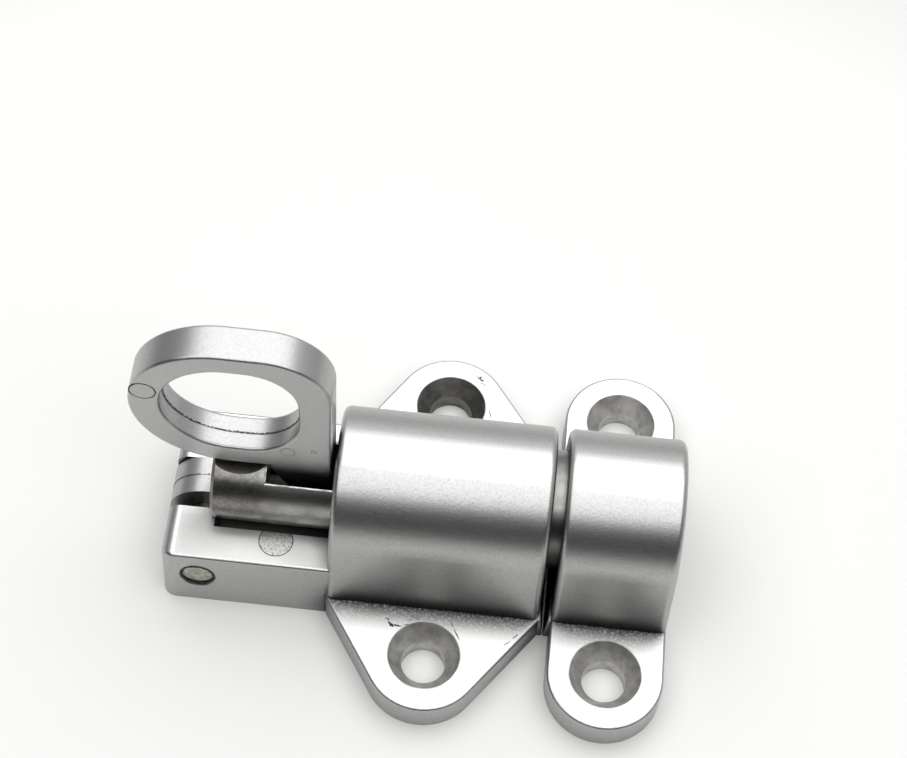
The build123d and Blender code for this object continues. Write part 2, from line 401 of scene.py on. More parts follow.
@dataclass(frozen=True)
class TurnedSteel(Finish):
    """Mild steel bar turned on a lathe and lightly oiled.

    The tool leaves fine rings round the axis, which draw the highlight out along the
    bar, and the oil film darkens the bare steel in smears. Where the ring lever rubs on
    the bar, old grease and grit make it brownish and dull. The sides of the bar in the
    gap between the castings, and the bar deep in cavities, get painted shade.
    """
    colour: str = "#a2a19f"
    film: str = "#898784"
    shaded: str = "#3a3938"
    grime: str = "#6d6b67"
    grime_share: float = 0.0
    grime_edge_mm: Span = (-21.0, -23.0)      # where the grime begins and is full, along the bar
    grime_mm: float = 0.5
    grime_noise: Span = (0.2, 0.55)
    gap_shade_share: float = 0.0           # how much painted shade darkens the steel's sides in a gap
    gap_mm: Span = (13.0, 18.0)      # where that gap lies, along the bar
    gap_fade_mm: float = 1.0
    side: Span = (0.8, 0.15)         # rise of the normal on the bar's crown and on its sides
    roughness: float = 0.28
    film_roughness: float = 0.1      # how much rougher the film is
    feed_mm: float = 0.22            # distance between two turning rings
    feed_depth_mm: float = 0.002
    film_mm: float = 3.0
    film_noise: Span = (0.38, 0.66)
    along: str = "X"
    cavity_reach_mm: float = 5.0
    cavity_sky: Span = (0.4, 0.1)

    def surface(self, tree: bpy.types.NodeTree) -> Any:
        """Lays out the nodes of the surface.

        Args:
            tree: Empty node tree of the material.

        Returns:
            Output socket of the shader.
        """
        place = add_node(tree, "ShaderNodeTexCoord").outputs["Object"]
        rings = add_node(tree, "ShaderNodeTexWave",
                         {"bands_direction": self.along, "Scale": wave_scale(self.feed_mm),
                          "Distortion": 0.6, "Detail": 1.0},
                         {"Vector": place}).outputs["Fac"]
        filmed = patch_share(tree, self.film_mm, self.film_noise, detail=6.0, roughness=0.7)
        grimy = overlap(tree, place_share(tree, "X", self.grime_edge_mm),
                        patch_share(tree, self.grime_mm, self.grime_noise, detail=4.0, roughness=0.7),
                        self.grime_share)
        first, last = self.gap_mm
        # painted shade on the sides of the bar in the gap between the castings
        painted_shade = overlap(tree, place_share(tree, "X", (first - self.gap_fade_mm, first)),
                       place_share(tree, "X", (last + self.gap_fade_mm, last)),
                       slope_share(tree, self.side), self.gap_shade_share)
        colour = colour_layers(
            tree, self.colour, (filmed, self.film), (grimy, self.grime), (painted_shade, self.shaded),
            (cavity_share(tree, self.cavity_reach_mm, self.cavity_sky), self.shaded))
        rough = add_node(tree, "ShaderNodeMapRange",
                         {"To Min": self.roughness, "To Max": self.roughness + self.film_roughness},
                         {"Value": filmed}).outputs["Result"]
        grooved = add_node(tree, "ShaderNodeBump",
                           {"Strength": 0.7, "Distance": self.feed_depth_mm * MM},
                           {"Height": rings}).outputs["Normal"]
        return add_node(tree, "ShaderNodeBsdfPrincipled", {"Metallic": 1.0},
                          {"Base Color": colour, "Roughness": rough, "Normal": grooved}).outputs[0]


@dataclass(frozen=True)
class DrawnWire(Finish):
    """Hard-drawn spring wire: smooth, dark grey, with faint die lines and drawing soap."""
    colour: str = "#8f8f92"
    soap: str = "#5f5e5f"
    roughness: float = 0.3
    patch_mm: float = 1.6
    patch_noise: Span = (0.4, 0.7)

    def surface(self, tree: bpy.types.NodeTree) -> Any:
        """Lays out the nodes of the surface.

        Args:
            tree: Empty node tree of the material.

        Returns:
            Output socket of the shader.
        """
        colour = colour_layers(tree, self.colour,
                               (patch_share(tree, self.patch_mm, self.patch_noise), self.soap))
        return add_node(tree, "ShaderNodeBsdfPrincipled",
                          {"Metallic": 1.0, "Roughness": self.roughness}, {"Base Color": colour}).outputs[0]


@dataclass(frozen=True)
class CutZinc(Finish):
    """Bare cut zinc in a countersink: dull and mottled, with the cutter's rings round the hole."""
    colour: str = "#c6c5c3"
    torn: str = "#a1a09e"
    roughness: float = 0.42
    ring_mm: float = 0.3
    ring_depth_mm: float = 0.01
    torn_mm: float = 1.6
    torn_noise: Span = (0.4, 0.68)

    def surface(self, tree: bpy.types.NodeTree) -> Any:
        """Lays out the nodes of the surface.

        Args:
            tree: Empty node tree of the material.

        Returns:
            Output socket of the shader.
        """
        place = add_node(tree, "ShaderNodeTexCoord").outputs["Object"]
        cuts = add_node(tree, "ShaderNodeTexWave",
                        {"bands_direction": "Z", "Scale": wave_scale(self.ring_mm),
                         "Distortion": 1.2, "Detail": 2.0},
                        {"Vector": place}).outputs["Fac"]
        tears = patch_share(tree, self.torn_mm, self.torn_noise, detail=4.0, roughness=0.6)
        colour = colour_layers(tree, self.colour, (tears, self.torn))
        ridged = add_node(tree, "ShaderNodeBump",
                          {"Strength": 0.6, "Distance": self.ring_depth_mm * MM},
                          {"Height": cuts}).outputs["Normal"]
        return add_node(tree, "ShaderNodeBsdfPrincipled",
                          {"Metallic": 1.0, "Roughness": self.roughness},
                          {"Base Color": colour, "Normal": ridged}).outputs[0]


@dataclass(frozen=True)
class SpeckledMark(Finish):
    """Skin left by an ejector pin's worn face: coarse specks of light and dark plate."""
    colour: str = "#d3d3d1"
    speck: str = "#6f6f6c"
    oil: str = "#4a4947"             # painted shade where the mark lies beside the bolt's tail
    shade_beside_reach_mm: float = 3.0
    shade_beside_sky: Span = (0.92, 0.5)
    roughness: float = 0.38
    speck_mm: float = 0.3
    speck_height_mm: float = 0.04
    speck_noise: Span = (0.5, 0.68)

    def surface(self, tree: bpy.types.NodeTree) -> Any:
        """Lays out the nodes of the surface.

        Args:
            tree: Empty node tree of the material.

        Returns:
            Output socket of the shader.
        """
        place = add_node(tree, "ShaderNodeTexCoord").outputs["Object"]
        specks = add_node(tree, "ShaderNodeTexNoise",
                          {"Scale": per_metre(self.speck_mm), "Detail": 3.0, "Roughness": 0.7},
                          {"Vector": place}).outputs["Fac"]
        sparse, dense = self.speck_noise
        specked = add_node(tree, "ShaderNodeMapRange", {"From Min": sparse, "From Max": dense},
                           {"Value": specks}).outputs["Result"]
        # painted shade near the steel beside the mark
        painted_shade = cavity_share(tree, self.shade_beside_reach_mm, self.shade_beside_sky)
        colour = colour_layers(tree, self.colour, (specked, self.speck), (painted_shade, self.oil))
        rugged = add_node(tree, "ShaderNodeBump",
                          {"Strength": 1.0, "Distance": self.speck_height_mm * MM},
                          {"Height": specks}).outputs["Normal"]
        return add_node(tree, "ShaderNodeBsdfPrincipled",
                          {"Metallic": 1.0, "Roughness": self.roughness},
                          {"Base Color": colour, "Normal": rugged}).outputs[0]


@dataclass(frozen=True)
class StudioPaper(Finish):
    """Matt white backdrop paper: no gloss, felt too fine to see, and greyer far from the object."""
    colour: str = "#e2e2e1"
    # painted falloff of the light: the paper is painted greyer far from the object
    painted_falloff_grey: str = "#b0b0af"
    centre_y_mm: float = 20.0
    pool_mm: Span = (260.0, 200.0)    # where the grey is reached, along X and Y
    pale_share: float = 0.4          # share of the pool that keeps the pale colour
    roughness: float = 0.5

    def surface(self, tree: bpy.types.NodeTree) -> Any:
        """Lays out the nodes of the surface.

        Args:
            tree: Empty node tree of the material.

        Returns:
            Output socket of the shader.
        """
        place = add_node(tree, "ShaderNodeTexCoord").outputs["Object"]
        along, across = self.pool_mm
        laid = add_node(tree, "ShaderNodeMapping",
                        {"Location": (0.0, -self.centre_y_mm / across, 0.0),
                         "Scale": (per_metre(along), per_metre(across), 0.0)},
                        {"Vector": place}).outputs[0]
        pool = add_node(tree, "ShaderNodeTexGradient", {"gradient_type": "SPHERICAL"},
                        {"Vector": laid}).outputs["Fac"]
        # painted falloff: grey grows outwards from the pool round the object
        greyed = add_node(tree, "ShaderNodeMapRange", {"From Min": 1.0 - self.pale_share, "From Max": 0.0},
                          {"Value": pool}).outputs["Result"]
        colour = colour_layers(tree, self.colour, (greyed, self.painted_falloff_grey))
        return add_node(tree, "ShaderNodeBsdfDiffuse", {"Roughness": self.roughness},
                        {"Color": colour}).outputs[0]


@dataclass(frozen=True)
class Groove(Finish):
    """Bottom of a fine groove or crack in the plate: dull, nearly black, with light grit."""
    colour: str = "#2f2e2c"
    grit: str = "#77756f"
    roughness: float = 0.6
    grit_mm: float = 0.25
    grit_noise: Span = (0.5, 0.7)

    def surface(self, tree: bpy.types.NodeTree) -> Any:
        """Lays out the nodes of the surface.

        Args:
            tree: Empty node tree of the material.

        Returns:
            Output socket of the shader.
        """
        colour = colour_layers(tree, self.colour,
                               (patch_share(tree, self.grit_mm, self.grit_noise), self.grit))
        return add_node(tree, "ShaderNodeBsdfPrincipled",
                          {"Metallic": 1.0, "Roughness": self.roughness}, {"Base Color": colour}).outputs[0]


@dataclass(frozen=True)
class Finishes:
    """Every finish of the object, made once."""
    casting: bpy.types.Material
    lever: bpy.types.Material
    steel: bpy.types.Material
    wire: bpy.types.Material
    pin: bpy.types.Material
    cut: bpy.types.Material
    darker_cut: bpy.types.Material
    speckled: bpy.types.Material
    groove: bpy.types.Material
    flash: bpy.types.Material
    bright: bpy.types.Material


def make_finishes() -> Finishes:
    """Makes the finishes.

    Returns:
        The finishes, by the part of the object that they are for.
    """
    return Finishes(
        casting=SatinCasting(painted_top_light_share=0.8, wall_shade_share=0.8, shade_beside_tail_share=0.5).make("satin_nickel_on_cast_zinc"),
        lever=SatinCasting(colour="#aeaeae", grain="#a5a5a4", pebble_height_mm=0.01,
                           cavity_reach_mm=4.0).make("satin_nickel_on_cast_lever"),
        steel=TurnedSteel(grime_share=0.85, gap_shade_share=0.95).make("oiled_turned_steel"),
        wire=DrawnWire().make("drawn_spring_wire"),
        pin=TurnedSteel(colour="#bdbcb2", film="#868478", film_mm=0.7,
                        along="Y").make("zinc_flashed_pin_steel"),
        cut=CutZinc().make("cut_zinc"),
        # a darker copy of the cut zinc, for the far screw hole of the housing
        darker_cut=CutZinc(colour="#7e7d7a", torn="#5c5b59").make("darker_cut_zinc"),
        speckled=SpeckledMark().make("speckled_ejector_mark"),
        groove=Groove().make("dark_groove"),
        flash=Groove(colour="#55534f", grit="#d8d8d6", roughness=0.4).make("plated_mould_flash"),
        # burr steel pale as a painted highlight along the window's edges
        bright=TurnedSteel(colour="#efeeea", film="#d5d3ce", roughness=0.4).make("burr_steel_painted_highlight"),
    )


def clear_selection() -> None:
    """Goes to object mode and deselects every object."""
    if bpy.context.mode != "OBJECT":
        bpy.ops.object.mode_set(mode="OBJECT")
    bpy.ops.object.select_all(action="DESELECT")


def begin(name: str) -> bpy.types.Object:
    """Names the primitive that was just added and opens it in edit mode.

    Args:
        name: Name of the piece.

    Returns:
        The piece.
    """
    piece = bpy.context.object
    piece.name = name
    piece.data.name = name
    bpy.ops.object.transform_apply(location=True, rotation=True, scale=True)
    bpy.ops.object.mode_set(mode="EDIT")
    bpy.ops.mesh.select_mode(type="VERT")
    pick_all()
    return piece


def pick(piece: bpy.types.Object, kind: str, test: Callable[[Any], bool]) -> None:
    """Selects the corners, edges or faces that pass a test, in edit mode.

    Args:
        piece: Mesh that is being edited.
        kind: VERT, EDGE or FACE, as Blender calls them.
        test: Takes a corner, an edge or a face, and says whether it is wanted.
    """
    bpy.ops.mesh.select_mode(type=kind)
    bpy.ops.mesh.select_all(action="DESELECT")
    mesh = bmesh.from_edit_mesh(piece.data)
    for one in {"VERT": mesh.verts, "EDGE": mesh.edges, "FACE": mesh.faces}[kind]:
        if test(one):
            one.select_set(True)
    bmesh.update_edit_mesh(piece.data)


def extrude(by: Any) -> None:
    """Extrudes what is selected, in edit mode, by an offset in metres."""
    bpy.ops.mesh.extrude_region_move(TRANSFORM_OT_translate={"value": by})


def pick_all() -> None:
    """Selects the whole mesh, in edit mode."""
    bpy.ops.mesh.select_all(action="SELECT")


def turn_outwards() -> None:
    """Makes every face of a mesh look outwards, in edit mode."""
    pick_all()
    bpy.ops.mesh.normals_make_consistent(inside=False)


def add_wall(piece: bpy.types.Object, thickness_mm: float) -> None:
    """Gives an open mesh a wall, half of it to either side.

    Args:
        piece: The open mesh.
        thickness_mm: How thick the wall is.
    """
    wall = piece.modifiers.new("wall", "SOLIDIFY")
    wall.thickness = thickness_mm * MM
    wall.offset = 0.0


def select_only(piece: bpy.types.Object) -> None:
    """Leaves edit mode, selects one piece alone and makes it the active one.

    Args:
        piece: The piece.
    """
    clear_selection()
    piece.select_set(True)
    bpy.context.view_layer.objects.active = piece


def finish_modifiers(piece: bpy.types.Object) -> None:
    """Leaves edit mode and applies every modifier of a piece.

    Args:
        piece: The piece.
    """
    select_only(piece)
    for modifier in list(piece.modifiers):
        bpy.ops.object.modifier_apply(modifier=modifier.name)


def copy_piece(piece: bpy.types.Object, name: str, turn: Matrix) -> bpy.types.Object:
    """Copies a piece with its own mesh and moves the copy's mesh.

    Args:
        piece: Piece to copy.
        name: Name of the copy.
        turn: Where the copy goes, as a transform of the mesh.

    Returns:
        The copy.
    """
    twin = piece.copy()
    twin.data = piece.data.copy()
    twin.name = name
    twin.data.name = name
    bpy.context.scene.collection.objects.link(twin)
    twin.data.transform(turn)
    return twin


@dataclass
class SubAssembly:
    """A CAD node with the small pieces that it carries."""
    node: str
    body: Body
    slot: Slot
    finishes: Finishes
    pieces: list[bpy.types.Object] = field(default_factory=list)

    def coat(self, material: bpy.types.Material) -> None:
        """Gives the CAD node its finish."""
        for place in frame["nodes"][self.node].material_slots:
            place.material = material

    def keep(self, piece: bpy.types.Object, material: bpy.types.Material) -> None:
        """Dresses a finished piece and makes it ride on this body.

        Args:
            piece: The finished piece.
            material: Its finish.
        """
        finish_modifiers(piece)
        piece.data.materials.clear()
        piece.data.materials.append(material)
        bpy.ops.object.shade_smooth_by_angle(angle=radians(SMOOTH_DEG))
        piece.select_set(False)
        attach(piece, self.body.value)
        self.pieces.append(piece)

    def report(self) -> None:
        """Logs what this sub-assembly carries."""
        log.info("%s: %d pieces (%s)", self.node, len(self.pieces), ", ".join(p.name for p in self.pieces))


@dataclass(frozen=True)
class Countersink:
    """Cut wall of a screw hole and its countersink, a skin just proud of the casting's facets."""
    hole_mm: float = 5.8
    mouth_mm: float = 9.2
    depth_mm: float = 2.1
    plate_mm: float = EAR_HEIGHT_MM
    skin_mm: float = 0.07
    lip_mm: float = 0.12             # burr that the cutter raises round the mouth
    lip_height_mm: float = 0.03
    sides: int = 72

    def build(self, name: str, x: float, y: float) -> bpy.types.Object:
        """Models the skin round one hole.

        Args:
            name: Name of the piece.
            x: Hole centre along the bolt, in metres.
            y: Hole centre across the bolt, in metres.

        Returns:
            The piece.
        """
        top = self.plate_mm * MM
        mouth = (self.mouth_mm - self.skin_mm) / 2 * MM
        hole = (self.hole_mm - self.skin_mm) / 2 * MM
        centre = (x, y, top)
        clear_selection()
        bpy.ops.mesh.primitive_circle_add(vertices=self.sides, radius=mouth, location=centre)
        piece = begin(name)
        lip = (mouth + self.lip_mm * MM) / mouth
        bpy.ops.transform.resize(value=(lip, lip, 1.0), center_override=centre)
        extrude((0, 0, self.lip_height_mm * MM))
        bpy.ops.transform.resize(value=(1 / lip, 1 / lip, 1.0), center_override=centre)
        extrude((0, 0, -(self.depth_mm + self.lip_height_mm) * MM))
        bpy.ops.transform.resize(value=(hole / mouth, hole / mouth, 1.0), center_override=centre)
        extrude((0, 0, -(self.plate_mm - self.depth_mm) * MM + WITHIN))
        pick_all()
        bpy.ops.mesh.normals_make_consistent(inside=True)
        add_wall(piece, self.skin_mm)
        return piece


@dataclass(frozen=True)
class RoundMark:
    """Round mark that an ejector pin leaves: a low disc in a fine groove."""
    radius_mm: float
    groove_mm: float = 0.11
    groove_lap: float = 1.1          # full width as a share of what shows: it reaches under the disc
    groove_rise: float = 0.6         # how high it lies, as a share of the disc's height
    proud_mm: float = 0.015
    rim_share: float = 0.25          # width of the disc's rim, as a share of its radius
    middle_rise: float = 0.5         # how much higher its middle is, as a share of its height
    sides: int = 56

    def build(self, name: str, centre: Vector, facing: Vector) -> tuple[bpy.types.Object, bpy.types.Object]:
        """Models the disc and its groove.

        Args:
            name: Name of the disc, and with an ending, of the groove.
            centre: Middle of the mark on the surface, in metres.
            facing: Way that the surface faces.

        Returns:
            The disc and the groove.
        """
        turn = facing.to_track_quat("Z", "Y").to_euler()
        clear_selection()
        bpy.ops.mesh.primitive_cylinder_add(vertices=self.sides, radius=self.radius_mm * MM, depth=2 * WITHIN,
                                            location=centre, rotation=turn)
        disc = begin(name)
        pick(disc, "FACE", lambda face: face.normal.dot(facing) > 0.5)
        bpy.ops.transform.translate(value=facing * (self.proud_mm * MM - WITHIN))
        bpy.ops.mesh.inset(thickness=self.radius_mm * MM * self.rim_share)
        bpy.ops.transform.translate(value=facing * self.proud_mm * MM * self.middle_rise)
        clear_selection()
        bpy.ops.mesh.primitive_circle_add(vertices=self.sides, radius=(self.radius_mm + self.groove_mm) * MM,
                                          fill_type="NGON", location=centre, rotation=turn)
        groove = begin(name + "_groove")
        bpy.ops.mesh.inset(thickness=self.groove_mm * MM * self.groove_lap)
        bpy.ops.mesh.delete(type="FACE")
        pick_all()
        extrude(-facing * WITHIN)
        turn_outwards()
        bpy.ops.transform.translate(value=facing * self.proud_mm * MM * self.groove_rise)
        return disc, groove


@dataclass(frozen=True)
class GapRing:
    """Dirt and old plate in the gap between a pin's end and the mouth of its hole."""
    outer_mm: float = 2.24
    inner_mm: float = 1.88
    depth_mm: float = 0.1            # below the casting's face
    sides: int = 48

    def build(self, name: str, centre: Vector, facing: Vector) -> bpy.types.Object:
        """Models the ring.

        Args:
            name: Name of the piece.
            centre: Middle of the pin's hole on the casting's face, in metres.
            facing: Way that the face looks.

        Returns:
            The piece.
        """
        clear_selection()
        bpy.ops.mesh.primitive_circle_add(vertices=self.sides, radius=self.outer_mm * MM, fill_type="NGON",
                                          location=centre - facing * self.depth_mm * MM,
                                          rotation=facing.to_track_quat("Z", "Y").to_euler())
        ring = begin(name)
        bpy.ops.mesh.inset(thickness=(self.outer_mm - self.inner_mm) * MM)
        bpy.ops.mesh.delete(type="FACE")
        pick_all()
        extrude(-facing * self.depth_mm * MM)
        turn_outwards()
        return ring


@dataclass(frozen=True)
class Tear:
    """Cold tear or scuff in the skin of a casting: a ragged sliver that lies flat in it."""
    start_mm: tuple[float, float]
    end_mm: tuple[float, float]
    width_mm: float
    seed: int = 1
    ragged_share: float = 0.35       # how ragged its edge is, as a share of its width
    proud_mm: float = 0.012
    sides: int = 22

    def build(self, name: str, height: float) -> bpy.types.Object:
        """Models the sliver.

        Args:
            name: Name of the piece.
            height: Height of the face that it lies in, in metres.

        Returns:
            The piece.
        """
        start, end = Vector(self.start_mm) * MM, Vector(self.end_mm) * MM
        run = end - start
        middle = (*(start + end) / 2, height + self.proud_mm * MM)
        clear_selection()
        bpy.ops.mesh.primitive_circle_add(vertices=self.sides, radius=0.5, fill_type="NGON",
                                          location=middle, rotation=(0, 0, atan2(run.y, run.x)))
        bpy.context.object.scale = (run.length, self.width_mm * MM, 1.0)
        sliver = begin(name)
        pick_all()
        bpy.ops.transform.vertex_random(offset=self.width_mm * MM * self.ragged_share, seed=self.seed)
        bpy.ops.transform.resize(value=(1, 1, 0), center_override=middle)
        extrude((0, 0, -WITHIN))
        turn_outwards()
        return sliver


EAR_TEARS = (
    Tear((-5.3, -13.8), (-4.8, -14.1), 0.16),
    Tear((-5.0, -14.3), (-4.2, -15.0), 0.34, seed=9),
    Tear((-4.4, -14.7), (-3.1, -14.8), 0.2, seed=6),
    Tear((-3.0, -14.6), (-1.9, -14.3), 0.09, seed=7),
    Tear((2.9, -13.5), (3.4, -14.3), 0.1, seed=8),
    Tear((3.4, -14.4), (4.3, -15.9), 0.15, seed=3),
    Tear((9.9, -15.9), (10.7, -15.3), 0.1, seed=4),
    Tear((10.9, -14.9), (11.6, -14.2), 0.12, seed=5),
)
EAR_SCUFFS = (
    Tear((3.0, 23.7), (4.1, 23.0), 0.5, seed=11),
    Tear((3.5, 22.8), (4.4, 22.3), 0.18, seed=14),
    Tear((5.1, 18.6), (5.5, 17.3), 0.2, seed=12),
)


@dataclass
class Casting(SubAssembly):
    """A casting: screw holes, ejector marks, torn and scuffed skin, and the foot of one end."""
    hole_x_mm: float = 0.0
    hole_y_mm: float = 18.5
    countersink: Countersink = Countersink()
    # whether the far hole's cut wall is drawn in the darker cut zinc
    far_hole_darker: bool = False
    sole_marks_mm: tuple[tuple[float, float], ...] = ()
    sole_mark_radius_mm: float = 2.0
    ear_height_mm: float = EAR_HEIGHT_MM
    tears: tuple[Tear, ...] = ()
    scuffs: tuple[Tear, ...] = ()
    foot_x_mm: float = 0.0           # end face that looks at the other casting
    foot_way: int = 1                # which way along the bolt it looks
    foot_half_mm: float = 11.9
    foot_draft_mm: float = 0.7       # how far the drafted foot reaches out at the door
    foot_top_share: float = 0.45     # and how much of that is left at its top
    foot_round_mm: float = 0.12

    def dress(self) -> None:
        """Coats the casting and builds what it carries."""
        self.coat(self.finishes.casting)
        self.screw_holes()
        self.sole_marks()
        self.ear_tears()
        self.drafted_foot()

    def drafted_foot(self) -> None:
        """Models the draft at the foot of the end face, where the two castings nearly meet."""
        reach, top = self.foot_draft_mm * MM, self.ear_height_mm * MM
        face = self.foot_x_mm * MM
        middle = (face + self.foot_way * (reach - WITHIN) / 2, 0.0, top / 2)
        clear_selection()
        bpy.ops.mesh.primitive_cube_add(size=1.0, location=middle)
        bpy.context.object.scale = (reach + WITHIN, 2 * self.foot_half_mm * MM, top)
        foot = begin(f"{self.node}_foot")

        def out(corner: bmesh.types.BMVert) -> float:
            """How far a corner lies out from the end face."""
            return (corner.co.x - face) * self.foot_way

        pick(foot, "VERT", lambda corner: corner.co.z > top / 2 and out(corner) > reach / 2)
        drawn_in = -self.foot_way * reach * (1 - self.foot_top_share)
        bpy.ops.transform.translate(value=(drawn_in, 0, 0))
        pick(foot, "EDGE", lambda edge: min(out(corner) for corner in edge.verts) > WITHIN)
        bpy.ops.mesh.bevel(offset=self.foot_round_mm * MM, segments=2)
        self.keep(foot, self.finishes.casting)

    def ear_tears(self) -> None:
        """Lays the dark cold tears and the mottled scuffs in the top of the ears."""
        marks = (("tear", self.tears, self.finishes.groove), ("scuff", self.scuffs, self.finishes.flash))
        for kind, slivers, finish in marks:
            for number, sliver in enumerate(slivers):
                self.keep(sliver.build(f"{self.node}_{kind}_{number}", self.ear_height_mm * MM), finish)

    def screw_holes(self) -> None:
        """Lines both screw holes: one is modelled, the other is its copy."""
        far = self.countersink.build(f"{self.node}_countersink_far", self.hole_x_mm * MM, self.hole_y_mm * MM)
        finish_modifiers(far)
        near = copy_piece(far, f"{self.node}_countersink_near",
                          Matrix.Translation((0, -2 * self.hole_y_mm * MM, 0)))
        self.keep(far, self.finishes.darker_cut if self.far_hole_darker else self.finishes.cut)
        self.keep(near, self.finishes.cut)

    def sole_marks(self) -> None:
        """Puts the ejector marks on the face that lies on the door."""
        down = Vector((0, 0, -1))
        for number, (x, y) in enumerate(self.sole_marks_mm):
            mark = RoundMark(self.sole_mark_radius_mm)
            disc, groove = mark.build(f"{self.node}_sole_mark_{number}", Vector((x, y, 0)) * MM, down)
            self.keep(disc, self.finishes.speckled)
            self.keep(groove, self.finishes.groove)


@dataclass
class Housing(Casting):
    """Housing: the common casting, with ejector marks on top of its two cheeks."""
    cheek_height_mm: float = CHEEK_HEIGHT_MM
    cheek_mark_x_mm: float = -20.1
    cheek_mark_y_mm: float = 7.3
    cheek_mark_radius_mm: float = 2.1
    trough_half_mm: float = 6.13

    def dress(self) -> None:
        """Coats the housing and builds what it carries."""
        super().dress()
        self.cheek_marks()

    def cheek_marks(self) -> None:
        """Marks both cheeks' tops, cut off where the trough beside the tail begins."""
        up = Vector((0, 0, 1))
        edge = self.trough_half_mm * MM + WITHIN
        for side, name in ((-1, "near"), (1, "far")):
            centre = Vector((self.cheek_mark_x_mm, side * self.cheek_mark_y_mm, self.cheek_height_mm)) * MM
            made = RoundMark(self.cheek_mark_radius_mm).build(f"cheek_mark_{name}", centre, up)
            for piece, finish in zip(made, (self.finishes.speckled, self.finishes.groove)):
                select_only(piece)
                bpy.ops.object.mode_set(mode="EDIT")
                pick_all()
                bpy.ops.mesh.bisect(plane_co=(0, side * edge, 0), plane_no=(0, side, 0),
                                    use_fill=True, clear_inner=True)
                self.keep(piece, finish)


@dataclass
class PullRing(SubAssembly):
    """Ring lever: ejector marks on its near face, and the seam where its two moulds met."""
    lever_y_mm: float = 0.8
    near_face_y_mm: float = -1.6
    hole_left_mm: float = -34.6
    hole_right_mm: float = -17.75
    hole_bottom_mm: float = 21.85
    hole_top_mm: float = 38.75
    hole_corner_mm: float = 6.5
    seam_width_mm: float = 0.13      # how far the seam stands out from the hole's wall
    seam_thickness_mm: float = 0.15
    seam_ragged_mm: float = 0.09
    round_share: float = 0.999       # the two corners of the hole's round side all but meet
    round_segments: int = 22         # of each of them
    corner_segments: int = 14        # of each corner on its straight side
    straight_cuts: int = 16          # in each straight edge of the seam, to make it ragged
    straight_edge_mm: float = 2.0    # an edge longer than this is a straight one
    pin_x_mm: float = PIN_X_MM
    pin_z_mm: float = PIN_Z_MM
    hub_radius_mm: float = 5.0
    hub_seam_mm: float = 0.05        # how far the hub's seam stands out
    hub_seam_width_mm: float = 0.2   # all of it, most of it inside the hub
    hub_sides: int = 96
    marks_mm: tuple[tuple[float, float, float], ...] = (
        (-36.4, 33.1, 1.5), (-19.15, 22.25, 0.85), (-15.9, 22.9, 0.3))
    bold_groove_mm: float = 0.19     # round the large mark
    fine_groove_mm: float = 0.06     # round the small ones

    def dress(self) -> None:
        """Coats the ring lever and builds what it carries."""
        self.coat(self.finishes.lever)
        self.hole_seam()
        self.hub_seam()
        self.face_marks()

    def hole_seam(self) -> None:
        """Models the ragged seam round the inside of the ring."""
        left, right = self.hole_left_mm * MM, self.hole_right_mm * MM
        low, high = self.hole_bottom_mm * MM, self.hole_top_mm * MM
        half = (high - low) / 2
        clear_selection()
        middle = ((left + right) / 2, self.lever_y_mm * MM, (low + high) / 2)
        bpy.ops.mesh.primitive_plane_add(size=1.0, location=middle, rotation=(radians(90), 0, 0))
        bpy.context.object.scale = (right - left, high - low, 1)
        seam = begin("ring_hole_seam")
        sunk = WITHIN / half
        pick_all()
        bpy.ops.transform.resize(value=(1 + sunk, 1, 1 + sunk), center_override=middle)
        pick(seam, "VERT", lambda corner: corner.co.x < middle[0])
        bpy.ops.mesh.bevel(offset=half * self.round_share, segments=self.round_segments,
                           affect="VERTICES")
        pick(seam, "VERT", lambda corner: corner.co.x > right - 2 * WITHIN)
        bpy.ops.mesh.bevel(offset=self.hole_corner_mm * MM, segments=self.corner_segments,
                           affect="VERTICES")
        pick(seam, "EDGE", lambda edge: edge.calc_length() > self.straight_edge_mm * MM)
        bpy.ops.mesh.subdivide(number_cuts=self.straight_cuts)
        bpy.ops.mesh.select_mode(type="FACE")
        pick_all()
        bpy.ops.mesh.inset(thickness=self.seam_width_mm * MM + WITHIN)
        bpy.ops.transform.vertex_random(offset=self.seam_ragged_mm * MM, seed=4)
        bpy.ops.mesh.delete(type="FACE")
        add_wall(seam, self.seam_thickness_mm)
        self.keep(seam, self.finishes.flash)

    def hub_seam(self) -> None:
        """Models the seam over the top of the hub."""
        centre = Vector((self.pin_x_mm, self.lever_y_mm, self.pin_z_mm)) * MM
        clear_selection()
        bpy.ops.mesh.primitive_circle_add(vertices=self.hub_sides,
                                          radius=(self.hub_radius_mm + self.hub_seam_mm) * MM,
                                          fill_type="NGON", location=centre, rotation=(radians(90), 0, 0))
        seam = begin("hub_seam")
        bpy.ops.mesh.inset(thickness=self.hub_seam_width_mm * MM)
        bpy.ops.mesh.delete(type="FACE")
        pick_all()
        bpy.ops.mesh.bisect(plane_co=centre, plane_no=(0, 0, 1), clear_inner=True)
        pick_all()
        bpy.ops.transform.vertex_random(offset=self.hub_seam_mm * MM, seed=7)
        add_wall(seam, self.seam_thickness_mm)
        self.keep(seam, self.finishes.flash)

    def face_marks(self) -> None:
        """Puts the ejector marks on the near face, where the ejector pins pushed it out."""
        toward = Vector((0, -1, 0))
        for number, (x, z, radius) in enumerate(self.marks_mm):
            mark = RoundMark(radius, groove_mm=self.fine_groove_mm if number else self.bold_groove_mm)
            centre = Vector((x, self.near_face_y_mm, z)) * MM
            disc, groove = mark.build(f"ring_mark_{number}", centre, toward)
            self.keep(disc, self.finishes.lever)
            self.keep(groove, self.finishes.groove)


